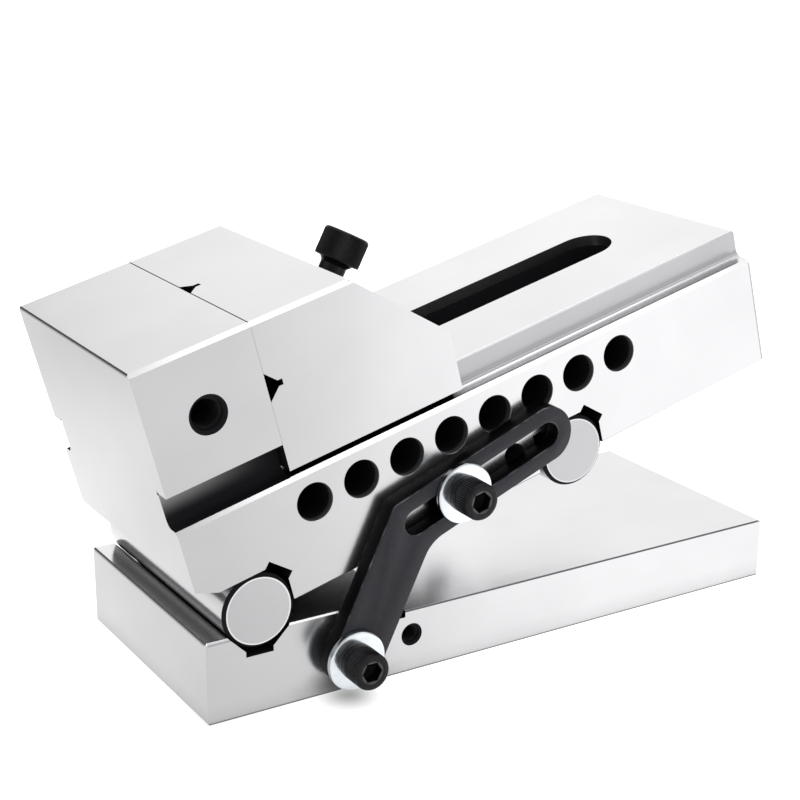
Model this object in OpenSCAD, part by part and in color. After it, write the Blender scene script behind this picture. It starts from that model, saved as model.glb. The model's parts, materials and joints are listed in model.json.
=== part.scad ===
// Sine vise: a ground steel toolmaker's vise that tilts on two rollers over its own base.
// X runs along the base towards the sine roller, Y away from the arm side, Z up.
// The origin is the middle of the base's underside. The body is drawn in its own frame,
// whose origin is the hinge roller's axis, and is then tilted into place.

/* [Stored pose] */
// Tilt of the vise body above the base, in degrees
tilt = 14.4; // [0:0.1:45]

/* [Whole vise] */
// Width of base, body and both jaws
vise_w = 73; // [66:1:84]
// Chamfer along the long upper edges at the sides
long_chamfer = 1; // [0.4:0.1:1.5]
// Chamfer on the other outer edges
edge_chamfer = 0.4; // [0.2:0.1:0.8]
// Gap between flat faces that slide on each other
slide_gap = 0.05; // [0.02:0.01:0.15]

/* [Sine base] */
// Length of the base
base_l = 183; // [176:1:200]
// Height of the raised end that carries the hinge groove
base_high_h = 22.5; // [20.5:0.5:24]
// Height of the long ground seat for the gauge blocks
base_low_h = 17.7; // [16:0.1:17.7]
// Distance of the step from the hinge end
base_step_x = 55; // [46:1:56]
// Width of the relief cut at the foot of the step
step_relief_w = 3.1; // [1:0.1:4]
// Depth of the relief cut below the gauge block seat
step_relief_d = 1.8; // [0.5:0.1:2.5]
// Distance of the hinge axis from the hinge end of the base
hinge_x = 15; // [13:0.5:18]
// Height of the hinge axis above the underside of the base
hinge_h = 28; // [28:0.5:31]
// Width of the relief slot in the root of the hinge groove
groove_slot_w = 7.8; // [4:0.2:9]
// Depth of that relief slot below the roller
groove_slot_d = 1.9; // [1:0.1:3]

/* [Rollers] */
// Radius of both rollers
roller_r = 10; // [9:0.25:10]
// Distance between the roller axes
roller_pitch = 100; // [99:1:104]
// Chamfer on the roller ends
roller_chamfer = 0.9; // [0.3:0.1:1.2]
// Distance that the roller ends lie inside the sides
roller_inset = 0.1; // [0:0.1:0.5]
// Gap between hinge roller and the flanks of its groove
hinge_gap = 0.1; // [0.05:0.05:0.3]
// Gap between a roller and its notch in the body
roller_seat_gap = 0.03; // [0.01:0.01:0.1]
// Distance of each roller screw from the middle
roller_screw_y = 24; // [20:1:28]

/* [Vise body] */
// Length of the body
body_l = 184; // [178:1:196]
// Distance of the hinge axis from the fixed jaw's outer end
body_left = 14.5; // [13:0.5:15]
// Depth of the underside below the roller axes
body_drop = 1.9; // [1:0.1:2.5]
// Height of the bed's sliding face above the roller axes
bed_h = 37.8; // [37:0.2:39]
// Height of the sliding face above the side ledges
rail_h = 7.8; // [7:0.2:9]
// Depth of the side grooves and ledges
groove_d = 5; // [4:0.5:6]
// Height of the groove's roof under the fixed jaw above the sliding face
roof_rise = 1.8; // [1.4:0.1:3]
// Half the width of the square relief in the corner under the groove's roof
nick = 0.6; // [0.3:0.1:1]
// Radius at the foot of the rail
foot_r = 2; // [1:0.25:2]
// Length of the bevel under the fixed jaw's outer end
bevel_l = 6; // [3:0.5:8]
// Height of that bevel
bevel_h = 2.8; // [1:0.2:4]
// Width of the relief slots in the roller notches
notch_slot_w = 7.6; // [4:0.2:9]
// Depth of the relief slots beyond the roller
notch_slot_d = 2.6; // [1:0.1:2.8]
// Length of the sine roller's notch behind its axis
notch_back = 11.6; // [10.5:0.1:13]

/* [Clamping holes and slot] */
// Number of cross holes that give the nut its notches
cross_hole_n = 8; // [6:1:8]
// Distance between the cross holes
cross_hole_pitch = 14; // [13:0.5:14]
// Radius of the cross holes
cross_hole_r = 5; // [4.9:0.05:5.3]
// Distance of the first cross hole from the hinge axis
cross_hole_first = 22.4; // [22:0.2:24]
// Depth of the cross holes below the bed's sliding face
cross_hole_drop = 16.6; // [15.6:0.1:16.6]
// Chamfer at the mouths of the cross holes
cross_hole_chamfer = 0.2; // [0.1:0.05:0.4]
// Width of the slot in the bed
bed_slot_w = 16.6; // [14:0.2:18]
// Length of the solid end beyond the slot
slot_end_l = 21.5; // [16:0.5:22.5]
// Width of the channel under the slot
channel_w = 29.6; // [26:0.2:32]
// Distance of the channel's near end from the hinge axis
channel_start = 3.4; // [3:0.1:5]

/* [Jaws] */
// Depth of the jaws above the bed
jaw_depth = 35; // [34:0.5:38]
// Length of the fixed jaw
fixed_jaw_l = 32.5; // [31:0.5:33]
// Length of the movable jaw
moving_jaw_l = 52.5; // [50:0.5:56]
// Length of the movable jaw's flat top
moving_jaw_top_l = 28.3; // [26:0.5:30]
// Gap between the movable jaw's skirts and the ledges
skirt_gap = 2.1; // [2.1:0.1:3]
// Width of the level groove across the movable jaw's face
face_groove_w = 7.8; // [5:0.2:9]
// Width of the upright groove in the movable jaw's face
upright_groove_w = 7.2; // [5:0.2:9]
// Width of the relief slots in the face grooves
face_slot_w = 1.6; // [0.8:0.1:2]
// Depth of the relief slots from the jaw face
face_slot_d = 4.4; // [4.2:0.1:6]
// Chamfer on both sides of the seam between the jaws
seam_chamfer = 0.15; // [0.1:0.05:0.4]
// Core radius of the work stop's threaded hole
stop_hole_r = 4.25; // [3:0.05:5.1]
// Depth of the work stop's threaded hole
stop_hole_d = 20; // [12:1:30]
// Radius of the countersink of the work stop's hole
stop_sink_r = 5.2; // [5.15:0.05:6.5]

/* [Clamp screw] */
// Radius of the clamp screw's thread
clamp_r = 4; // [3.5:0.25:4]
// Length of the clamp screw under its head
clamp_l = 68; // [62:1:68]
// Radius of the clamp screw's head
clamp_head_r = 6.3; // [6:0.1:7]
// Height of the clamp screw's head
clamp_head_h = 8; // [6:0.5:10]
// Width across flats of the clamp screw's socket
clamp_socket_w = 6; // [5:0.5:7]
// Depth of the clamp screw's socket
clamp_socket_d = 4; // [3:0.5:5]
// Height of the loosened head above the jaw's sloping face
clamp_lift = 4.4; // [1.5:0.1:5]
// Radius of the fillet under the clamp screw's head
clamp_fillet_r = 1.2; // [0.5:0.1:1.5]
// Radius of the ball washer
ball_r = 7; // [6.5:0.25:8]
// Height of the ball washer
ball_h = 4.5; // [3:0.5:5]
// Depth of the ball washer's flat top below the sloping face
ball_sink = 1; // [0.5:0.1:2]
// Gap between ball washer and its seat
ball_gap = 0.1; // [0.05:0.05:0.2]
// Gap between ball washer and clamp screw
ball_bore_gap = 0.3; // [0.2:0.05:0.5]
// Play of the clamp screw in the jaw's slot, each side
shank_play = 0.5; // [0.3:0.1:0.6]
// Swing of the clamp screw away from its stored direction, in degrees
clamp_swing = 5; // [2:0.5:5]
// Radius of the nut's round ends
nut_end_r = 4.8; // [4.5:0.05:4.8]
// Length of the nut's middle block along the bed
nut_block_l = 18; // [14:0.5:19]
// Height of the nut's middle block
nut_block_h = 9; // [8:0.25:9]
// Play of the nut in slot and channel, each side
nut_play = 0.4; // [0.3:0.1:0.8]
// Gap below the ledges when the nut is out of its notch
nut_drop_gap = 0.3; // [0.2:0.05:0.3]
// Gap between threads, drawn as plain cylinders
thread_gap = 0.05; // [0.02:0.01:0.1]

/* [Link arm] */
// Distance of the lower arm screw from the hinge end of the base
arm_screw_x = 39.7; // [37:0.1:41]
// Height of the base's side holes
arm_screw_z = 10.5; // [10:0.1:10.9]
// Distance between the two positions for each arm screw
arm_hole_pitch = 20.4; // [19.5:0.1:21]
// Distance of the upper arm screw from the hinge axis, along the body
arm_top_u = 61.2; // [59:0.1:63]
// Height of the upper arm screw above the roller axes
arm_top_h = 7.3; // [6.5:0.1:7.3]
// Thickness of the link arm
arm_t = 5; // [4:0.5:6]
// Half the width of the link arm
arm_half_w = 7.8; // [7.4:0.1:8.5]
// Distance of the leg's middle line from the lower pivot
arm_leg_shift = 1; // [0:0.1:1.5]
// Distance of the slot's line from the lower pivot
arm_offset = 24.8; // [24:0.1:25]
// Width of the slot in the arm
arm_slot_w = 7; // [6.8:0.1:7.4]
// Distance of the slot's near end centre, measured along the slot
arm_slot_start = 30; // [28:0.5:31]
// Distance of the slot's far end centre, measured along the slot
arm_slot_stop = 74.2; // [70:0.2:76]
// Angle between the lower leg and the slot, in degrees
arm_bend = 42.2; // [42:0.2:46]
// Radius of the fillet inside the bend
arm_fillet_r = 10; // [8:1:22]
// Radius of the bend's outer corner
arm_corner_r = 2.5; // [1:0.5:6]
// How far the arm's round ends stand out over its straight sides
arm_end_extra = 0.05; // [0.03:0.01:0.1]

/* [Arm screws] */
// Radius of the arm screws' thread
arm_screw_r = 3; // [2.8:0.05:3]
// Length of the arm screws under the head
arm_screw_l = 20; // [18:1:24]
// Radius of the arm screws' heads
arm_head_r = 5; // [4.6:0.1:5.4]
// Height of the arm screws' heads
arm_head_h = 6; // [5:0.25:7]
// Width across flats of the arm screws' sockets
arm_socket_w = 5; // [4:0.5:5.5]
// Depth of the arm screws' sockets
arm_socket_d = 3; // [2:0.5:4]
// Radius of the flat washers
washer_r = 8.2; // [7:0.1:8.6]
// Thickness of the flat washers
washer_t = 1.6; // [1:0.1:2]
// Thickness of the lock washers
lock_t = 1.5; // [1:0.1:2]
// Outer radius of the lock washers
lock_r = 5; // [4.6:0.1:5.4]
// Width of the split in the lock washers
lock_split = 1; // [0.6:0.1:1.6]
// Gap between screws and washers
washer_gap = 0.2; // [0.1:0.05:0.4]
// Radius of the waist where the upper screw passes the arm's slot
waist_r = 0.75; // [0.6:0.05:0.75]
// Core radius of the free tapped holes for the arm screws
tap_r = 2.5; // [2.2:0.05:2.5]
// Depth of the tapped holes for the arm screws
tap_d = 15; // [14:0.5:16]
// Radius of the countersinks of these holes
tap_sink_r = 3.2; // [3.1:0.05:3.6]

/* [Roller screws] */
// Radius of the roller screws' thread
roller_screw_r = 2.5; // [2:0.25:2.5]
// Length of the roller screws under the head
roller_screw_l = 24; // [20:1:24]
// Radius of the roller screws' heads
roller_head_r = 4.25; // [3.75:0.25:4.25]
// Height of the roller screws' heads
roller_head_h = 5; // [4:0.5:5]
// Width across flats of the roller screws' sockets
roller_socket_w = 4; // [3:0.5:4]
// Depth of the roller screws' sockets
roller_socket_d = 2.5; // [2:0.25:3]
// Depth of the heads inside the roller
roller_head_sink = 0.8; // [0.6:0.1:1]
// Gap round the roller screws
roller_bore_gap = 0.25; // [0.1:0.05:0.3]

/* [Hidden] */
// Overrun of every cut beyond the face it opens
cut = 1;
// Sides of the round forms
round_n = 64;
fillet_n = 6;

// Places in the base's frame
hinge_cx = hinge_x - base_l / 2;
groove_apex_h = hinge_h - (roller_r + hinge_gap) * sqrt(2);
groove_floor_h = hinge_h - roller_r - groove_slot_d;

// Places in the body's frame, from the hinge axis
body_right = body_l - body_left;
rail_half_w = vise_w / 2 - groove_d;
ledge_h = bed_h - rail_h;
groove_roof_h = bed_h + roof_rise;
cross_hole_h = bed_h - cross_hole_drop;
bed_slot_end = body_right - slot_end_l;
jaw_top_h = bed_h + jaw_depth;
face_u = fixed_jaw_l - body_left;
moving_face_u = face_u + slide_gap;
jaw_mid_h = bed_h + jaw_depth / 2;
slope_run = moving_jaw_l - moving_jaw_top_l;
notch_c = roller_r + roller_seat_gap;
roller_head_seat = roller_r - roller_head_sink - roller_head_h;
slot_start_u = face_u + bed_slot_w / 2;
pocket_start_u = cross_hole_first - nut_block_l / 2 - nut_play;
pocket_top_h = cross_hole_h + nut_block_h / 2 + nut_play;

// The clamp screw's line runs from the middle of the jaw's slope to the first notch
pivot_u = moving_face_u + moving_jaw_top_l + slope_run / 2;
pivot_h = jaw_top_h - slope_run / 2;
clamp_angle = atan2(pivot_h - cross_hole_h, pivot_u - cross_hole_first);
nut_h = cross_hole_h - nut_end_r - nut_drop_gap;
nut_u = pivot_u - (pivot_h - nut_h) / tan(clamp_angle);

// Places of the arm's pivots in the base's frame and the arm's angle at the stored tilt
arm_low_x = arm_screw_x - base_l / 2;
arm_top_x = hinge_cx + arm_top_u * cos(tilt) - arm_top_h * sin(tilt);
arm_top_z = hinge_h + arm_top_u * sin(tilt) + arm_top_h * cos(tilt);
arm_span_x = arm_top_x - arm_low_x;
arm_span_z = arm_top_z - arm_screw_z;
arm_span = sqrt(arm_span_x * arm_span_x + arm_span_z * arm_span_z);
arm_angle = atan2(arm_span_z, arm_span_x) - asin(arm_offset / arm_span);
arm_face_y = -vise_w / 2 - slide_gap;
washer_face_y = arm_face_y - arm_t - slide_gap;
lock_face_y = washer_face_y - washer_t;
head_face_y = lock_face_y - lock_t;

// Colours
ground_steel = [0.82, 0.82, 0.83];
roller_steel = [0.76, 0.76, 0.78];
black_oxide = [0.08, 0.08, 0.09];
arm_black = [0.2, 0.2, 0.22];
zinc = [0.88, 0.89, 0.9];

// Outline and placing helpers
function mirrored(half) = concat(half, [for (i = [len(half) - 1:-1:0]) [-half[i][0], half[i][1]]]);
function arc(x, y, r, from, to) =
    [for (i = [0:fillet_n]) let (a = from + (to - from) * i / fillet_n) [x + r * cos(a), y + r * sin(a)]];

// Extrudes an outline drawn in X and Z along Y, middle at zero
module along_y(length) {
    rotate([90, 0, 0]) translate([0, 0, -length / 2]) linear_extrude(length) children();
}

// Extrudes an outline drawn in Y and Z along X, from zero
module along_x(length) {
    rotate([90, 0, 90]) linear_extrude(length) children();
}

// Puts what is drawn in the body's frame into the tilted place
module tilted() {
    translate([hinge_cx, 0, hinge_h]) rotate([0, -tilt, 0]) children();
}

// Puts Z along the clamp screw, outwards, with zero at the ball's centre
module on_clamp_line() {
    translate([pivot_u, 0, pivot_h]) rotate([0, 90 - clamp_angle, 0]) children();
}

// A round cut from the near side face at x and z, with its countersink
module near_hole(x, z, r, depth, sink_r) {
    translate([x, -vise_w / 2, z]) rotate([-90, 0, 0]) {
        translate([0, 0, -cut]) cylinder(r = r, h = depth + cut, $fn = round_n);
        translate([0, 0, -cut]) cylinder(r1 = sink_r + cut, r2 = r, h = cut + sink_r - r, $fn = round_n);
    }
}

// A socket head screw: head above zero, thread below zero. The shank can hold a waist.
module socket_screw(r, length, head_r, head_h, socket_w, socket_d, waist = []) {
    c = head_r / 12;
    difference() {
        rotate_extrude($fn = round_n) polygon(concat(
            [[0, -length], [r - c, -length], [r, c - length]], waist,
            [[r, 0], [head_r, 0], [head_r, head_h - c], [head_r - c, head_h], [0, head_h]]));
        translate([0, 0, head_h - socket_d])
            cylinder(r = socket_w / 2 / cos(30), h = socket_d + cut, $fn = 6);
    }
}

// A flat ring, from zero upwards
module ring(outer_r, inner_r, t) {
    difference() {
        cylinder(r = outer_r, h = t, $fn = round_n);
        translate([0, 0, -cut]) cylinder(r = inner_r, h = t + 2 * cut, $fn = round_n);
    }
}

// Base
module base_block(length, height) {
    half = [[vise_w / 2, 0], [vise_w / 2, height - edge_chamfer], [vise_w / 2 - edge_chamfer, height]];
    intersection() {
        translate([-base_l / 2, 0, 0]) along_x(length) polygon(mirrored(half));
        translate([-base_l / 2, 0, 0]) along_y(vise_w) polygon([
            [0, edge_chamfer], [0, height - edge_chamfer], [edge_chamfer, height],
            [length - edge_chamfer, height], [length, height - edge_chamfer],
            [length, edge_chamfer], [length - edge_chamfer, 0], [edge_chamfer, 0]]);
    }
}

module hinge_groove() {
    rise = base_high_h + cut - groove_apex_h;
    half_slot = groove_slot_w / 2;
    translate([hinge_cx, 0, 0]) along_y(vise_w + 2 * cut) polygon([
        [-rise, groove_apex_h + rise], [-half_slot, groove_apex_h + half_slot],
        [-half_slot, groove_floor_h], [half_slot, groove_floor_h],
        [half_slot, groove_apex_h + half_slot], [rise, groove_apex_h + rise]]);
}

module base_plate() {
    color(ground_steel) difference() {
        union() {
            base_block(base_step_x, base_high_h);
            base_block(base_l, base_low_h);
        }
        hinge_groove();
        translate([base_step_x - base_l / 2, -vise_w / 2 - cut, base_low_h - step_relief_d])
            cube([step_relief_w, vise_w + 2 * cut, step_relief_d + cut]);
        near_hole(arm_low_x, arm_screw_z, arm_screw_r + thread_gap, tap_d, arm_screw_r + 2 * thread_gap);
        near_hole(arm_low_x + arm_hole_pitch, arm_screw_z, tap_r, tap_d, tap_sink_r);
    }
}

// Vise body with the fixed jaw
module body_blank() {
    bed_half = concat(
        [[vise_w / 2 - edge_chamfer, -body_drop], [vise_w / 2, edge_chamfer - body_drop],
            [vise_w / 2, ledge_h - long_chamfer], [vise_w / 2 - long_chamfer, ledge_h]],
        arc(rail_half_w + foot_r, ledge_h + foot_r, foot_r, 270, 180),
        [[rail_half_w, bed_h - edge_chamfer], [rail_half_w - edge_chamfer, bed_h]]);
    jaw_half = [[rail_half_w, ledge_h + foot_r], [rail_half_w, groove_roof_h - nick],
        [rail_half_w - nick, groove_roof_h - nick], [rail_half_w - nick, groove_roof_h + nick],
        [rail_half_w + nick, groove_roof_h + nick], [rail_half_w + nick, groove_roof_h],
        [vise_w / 2, groove_roof_h], [vise_w / 2, jaw_top_h - long_chamfer],
        [vise_w / 2 - long_chamfer, jaw_top_h]];
    intersection() {
        union() {
            translate([-body_left, 0, 0]) along_x(body_l) polygon(mirrored(bed_half));
            translate([-body_left, 0, 0]) along_x(fixed_jaw_l) polygon(mirrored(jaw_half));
        }
        along_y(vise_w) polygon([
            [-body_left, -body_drop], [-body_left, jaw_top_h - edge_chamfer],
            [edge_chamfer - body_left, jaw_top_h], [face_u - seam_chamfer, jaw_top_h],
            [face_u, jaw_top_h - seam_chamfer], [face_u, bed_h],
            [body_right - edge_chamfer, bed_h], [body_right, bed_h - edge_chamfer],
            [body_right, edge_chamfer - body_drop], [body_right - edge_chamfer, -body_drop]]);
    }
}

// Square notch for a roller, with a slanting relief slot in its corner
module roller_notch(back) {
    half = notch_slot_w / 2;
    far = roller_r + notch_slot_d;
    lip = notch_slot_w / sqrt(2);
    low = -body_drop - cut;
    along_y(vise_w + 2 * cut) polygon([
        [-back, low], [-back, notch_c], [notch_c - lip, notch_c],
        [(far - half) / sqrt(2), (far + half) / sqrt(2)],
        [(far + half) / sqrt(2), (far - half) / sqrt(2)],
        [notch_c, notch_c - lip], [notch_c, low]]);
}

module end_bevel() {
    along_y(vise_w + 2 * cut) polygon([
        [-body_left - cut, notch_c - cut], [-body_left - cut, notch_c + bevel_h],
        [-body_left, notch_c + bevel_h], [bevel_l - body_left, notch_c],
        [bevel_l - body_left, notch_c - cut]]);
}

// Half of one cross hole, from the middle out to the near side face
module half_cross_hole() {
    rise = cross_hole_chamfer + cut;
    rotate([90, 0, 0]) {
        cylinder(r = cross_hole_r, h = vise_w / 2 + cut, $fn = round_n);
        translate([0, 0, vise_w / 2 - cross_hole_chamfer])
            cylinder(r1 = cross_hole_r, r2 = cross_hole_r + rise, h = rise, $fn = round_n);
    }
}

module cross_holes() {
    for (i = [0:cross_hole_n - 1]) {
        translate([cross_hole_first + i * cross_hole_pitch, 0, cross_hole_h]) {
            half_cross_hole();
            mirror([0, 1, 0]) half_cross_hole();
        }
    }
}

module bed_slot() {
    depth = bed_h - cross_hole_h + 2 * cut;
    far_u = bed_slot_end - bed_slot_w / 2;
    for (u = [slot_start_u, far_u]) {
        translate([u, 0, cross_hole_h - cut]) cylinder(r = bed_slot_w / 2, h = depth, $fn = round_n);
    }
    translate([slot_start_u, -bed_slot_w / 2, cross_hole_h - cut])
        cube([far_u - slot_start_u, bed_slot_w, depth]);
    translate([pocket_start_u, -bed_slot_w / 2, cross_hole_h - cut])
        cube([slot_start_u - pocket_start_u, bed_slot_w, pocket_top_h - cross_hole_h + cut]);
    translate([channel_start, -channel_w / 2, -body_drop - cut])
        cube([bed_slot_end - channel_start, channel_w, cross_hole_h + body_drop + cut]);
}

// Tapped holes for the two screws of one roller, along its slanting line
module roller_taps() {
    for (y = [-roller_screw_y, roller_screw_y]) {
        translate([0, y, 0]) rotate([0, 45, 0])
            cylinder(r = roller_screw_r + thread_gap, h = roller_screw_l - roller_head_seat + cut, $fn = round_n);
    }
}

module vise_body() {
    color(ground_steel) tilted() difference() {
        body_blank();
        roller_notch(body_left + cut);
        translate([roller_pitch, 0, 0]) roller_notch(notch_back);
        end_bevel();
        cross_holes();
        bed_slot();
        roller_taps();
        translate([roller_pitch, 0, 0]) roller_taps();
        near_hole(fixed_jaw_l / 2 - body_left, jaw_mid_h, stop_hole_r, stop_hole_d, stop_sink_r);
        near_hole(arm_top_u, arm_top_h, arm_screw_r + thread_gap, tap_d, arm_screw_r + 2 * thread_gap);
        near_hole(arm_top_u + arm_hole_pitch, arm_top_h, tap_r, tap_d, tap_sink_r);
    }
}

// Movable jaw
module jaw_blank() {
    low = ledge_h + skirt_gap;
    inside = rail_half_w + slide_gap;
    half = [[inside, bed_h + slide_gap], [inside, low], [vise_w / 2, low],
        [vise_w / 2, jaw_top_h - long_chamfer], [vise_w / 2 - long_chamfer, jaw_top_h]];
    intersection() {
        translate([moving_face_u, 0, 0]) along_x(moving_jaw_l) polygon(mirrored(half));
        translate([moving_face_u, 0, 0]) along_y(vise_w) polygon([
            [0, low], [0, jaw_top_h - seam_chamfer], [seam_chamfer, jaw_top_h],
            [moving_jaw_top_l, jaw_top_h], [moving_jaw_l, jaw_top_h - slope_run],
            [moving_jaw_l, low]]);
    }
}

// Outline of a right-angled groove with a relief slot at its root, open towards -X
module groove_outline(width) {
    half = width / 2;
    relief = face_slot_w / 2;
    polygon([[-cut, half + cut], [half - relief, relief], [face_slot_d, relief],
        [face_slot_d, -relief], [half - relief, -relief], [-cut, -half - cut]]);
}

module jaw_screw_way() {
    side = clamp_r + shank_play;
    long = pivot_h - bed_h + clamp_l / 2;
    on_clamp_line() {
        sphere(r = ball_r + ball_gap, $fn = round_n);
        along_y(2 * side) polygon([[-side, 0], [-side, -long],
            [side + long * tan(clamp_swing), -long], [side, 0]]);
    }
}

module movable_jaw() {
    color(ground_steel) tilted() difference() {
        jaw_blank();
        translate([moving_face_u, 0, jaw_mid_h]) along_y(vise_w + 2 * cut) groove_outline(face_groove_w);
        translate([moving_face_u, 0, bed_h - cut])
            linear_extrude(jaw_depth + 2 * cut) groove_outline(upright_groove_w);
        jaw_screw_way();
    }
}

// Rollers and the screws that hold them
module roller_solid() {
    half_l = vise_w / 2 - roller_inset;
    difference() {
        rotate([90, 0, 0]) rotate_extrude($fn = round_n) polygon([
            [0, -half_l], [roller_r - roller_chamfer, -half_l], [roller_r, roller_chamfer - half_l],
            [roller_r, half_l - roller_chamfer], [roller_r - roller_chamfer, half_l], [0, half_l]]);
        for (y = [-roller_screw_y, roller_screw_y]) {
            translate([0, y, 0]) rotate([0, 45, 0]) {
                translate([0, 0, -roller_r - cut]) cylinder(r = roller_screw_r + roller_bore_gap,
                    h = 2 * (roller_r + cut), $fn = round_n);
                translate([0, 0, -roller_r - cut]) cylinder(r = roller_head_r + roller_bore_gap,
                    h = roller_r + cut - roller_head_seat, $fn = round_n);
            }
        }
    }
}

module hinge_roller() {
    color(roller_steel) tilted() roller_solid();
}

module sine_roller() {
    color(roller_steel) tilted() translate([roller_pitch, 0, 0]) roller_solid();
}

module roller_screw_pair() {
    for (y = [-roller_screw_y, roller_screw_y]) {
        translate([0, y, 0]) rotate([0, 45, 0]) translate([0, 0, -roller_head_seat]) rotate([180, 0, 0])
            socket_screw(roller_screw_r, roller_screw_l, roller_head_r, roller_head_h,
                roller_socket_w, roller_socket_d);
    }
}

module hinge_roller_screws() {
    color(black_oxide) tilted() roller_screw_pair();
}

module sine_roller_screws() {
    color(black_oxide) tilted() translate([roller_pitch, 0, 0]) roller_screw_pair();
}

// Clamp screw, ball washer and nut
module clamp_screw() {
    top = clamp_lift + clamp_head_h;
    tip = clamp_lift - clamp_l;
    c = clamp_head_r / 12;
    tip_c = clamp_r / 4;
    color(black_oxide) tilted() on_clamp_line() difference() {
        rotate_extrude($fn = round_n) polygon(concat(
            [[0, tip], [clamp_r - tip_c, tip], [clamp_r, tip + tip_c]],
            arc(clamp_r + clamp_fillet_r, clamp_lift - clamp_fillet_r, clamp_fillet_r, 180, 90),
            [[clamp_head_r, clamp_lift], [clamp_head_r, top - c], [clamp_head_r - c, top], [0, top]]));
        translate([0, 0, top - clamp_socket_d])
            cylinder(r = clamp_socket_w / 2 / cos(30), h = clamp_socket_d + cut, $fn = 6);
    }
}

module ball_washer() {
    color(black_oxide) tilted() on_clamp_line() difference() {
        intersection() {
            sphere(r = ball_r, $fn = round_n);
            translate([0, 0, -ball_sink - ball_h]) cylinder(r = ball_r, h = ball_h, $fn = round_n);
        }
        translate([0, 0, -ball_r]) cylinder(r = clamp_r + ball_bore_gap, h = ball_r, $fn = round_n);
    }
}

module cross_bar_nut() {
    nut_l = channel_w - 2 * nut_play;
    block_w = bed_slot_w - 2 * nut_play;
    reach = nut_block_l;
    color(black_oxide) tilted() difference() {
        translate([nut_u, 0, nut_h]) {
            rotate([90, 0, 0]) cylinder(r = nut_end_r, h = nut_l, center = true, $fn = round_n);
            cube([nut_block_l, block_w, nut_block_h], center = true);
        }
        translate([nut_u, 0, nut_h]) rotate([0, 90 - clamp_angle, 0])
            cylinder(r = clamp_r + thread_gap, h = 2 * reach, center = true, $fn = round_n);
    }
}

// Link arm, drawn from its lower pivot with the slot along X: the outline of its leg and its
// slotted part, with the bend's round outer corner and inner fillet
function arm_outline() =
    let (
        top_y = arm_offset + arm_half_w,
        low_y = arm_offset - arm_half_w,
        left = arm_half_w - arm_leg_shift,
        right = arm_half_w + arm_leg_shift,
        top_x = (top_y * cos(arm_bend) - left) / sin(arm_bend),
        low_x = (low_y * cos(arm_bend) + right) / sin(arm_bend),
        top_run = arm_corner_r * tan(arm_bend / 2),
        low_run = arm_fillet_r * tan(arm_bend / 2))
    concat(
        [[right * sin(arm_bend), -right * cos(arm_bend)]],
        arc(low_x + low_run, low_y - arm_fillet_r, arm_fillet_r, 90 + arm_bend, 90),
        [[arm_slot_stop, low_y], [arm_slot_stop, top_y]],
        arc(top_x + top_run, top_y - arm_corner_r, arm_corner_r, 90, 90 + arm_bend),
        [[-left * sin(arm_bend), left * cos(arm_bend)]]);

module arm_plate() {
    difference() {
        union() {
            linear_extrude(arm_t) polygon(arm_outline());
            translate([arm_leg_shift * sin(arm_bend), -arm_leg_shift * cos(arm_bend), 0])
                cylinder(r = arm_half_w + arm_end_extra, h = arm_t, $fn = round_n);
            translate([arm_slot_stop, arm_offset, 0])
                cylinder(r = arm_half_w + arm_end_extra, h = arm_t, $fn = round_n);
        }
        translate([0, 0, -cut]) cylinder(r = arm_screw_r + washer_gap, h = arm_t + 2 * cut, $fn = round_n);
        for (x = [arm_slot_start, arm_slot_stop]) {
            translate([x, arm_offset, -cut]) cylinder(r = arm_slot_w / 2, h = arm_t + 2 * cut, $fn = round_n);
        }
        translate([arm_slot_start, arm_offset - arm_slot_w / 2, -cut])
            cube([arm_slot_stop - arm_slot_start, arm_slot_w, arm_t + 2 * cut]);
    }
}

module link_arm() {
    color(arm_black) translate([arm_low_x, arm_face_y, arm_screw_z])
        rotate([0, -arm_angle, 0]) rotate([90, 0, 0]) arm_plate();
}

// Screws and washers of the arm
module at_lower(y) {
    translate([arm_low_x, y, arm_screw_z]) rotate([90, 0, 0]) children();
}

module at_upper(y) {
    tilted() translate([arm_top_u, y, arm_top_h]) rotate([90, 0, 0]) children();
}

module arm_screw_solid(waist = []) {
    socket_screw(arm_screw_r, arm_screw_l, arm_head_r, arm_head_h, arm_socket_w, arm_socket_d, waist);
}

module lock_ring() {
    difference() {
        ring(lock_r, arm_screw_r + washer_gap, lock_t);
        translate([0, -lock_split / 2, -cut]) cube([lock_r + cut, lock_split, lock_t + 2 * cut]);
    }
}

module lower_arm_screw() {
    color(black_oxide) at_lower(head_face_y) arm_screw_solid();
}

module lower_lock_washer() {
    color(black_oxide) at_lower(lock_face_y) lock_ring();
}

module lower_arm_washer() {
    color(zinc) at_lower(washer_face_y) ring(washer_r, arm_screw_r + washer_gap, washer_t);
}

module upper_arm_screw() {
    waist_top = head_face_y - washer_face_y;
    waist_low = head_face_y + vise_w / 2;
    color(black_oxide) at_upper(head_face_y) arm_screw_solid([
        [arm_screw_r, waist_low], [waist_r, waist_low], [waist_r, waist_top], [arm_screw_r, waist_top]]);
}

module upper_lock_washer() {
    color(black_oxide) at_upper(lock_face_y) lock_ring();
}

module upper_arm_washer() {
    color(zinc) at_upper(washer_face_y) ring(washer_r, arm_screw_r + washer_gap, washer_t);
}

base_plate();
vise_body();
movable_jaw();
hinge_roller();
sine_roller();
hinge_roller_screws();
sine_roller_screws();
clamp_screw();
ball_washer();
cross_bar_nut();
link_arm();
lower_arm_screw();
lower_lock_washer();
lower_arm_washer();
upper_arm_screw();
upper_lock_washer();
upper_arm_washer();
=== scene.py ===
import json
import math
import bpy
import bmesh
from mathutils import Matrix, Vector


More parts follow.
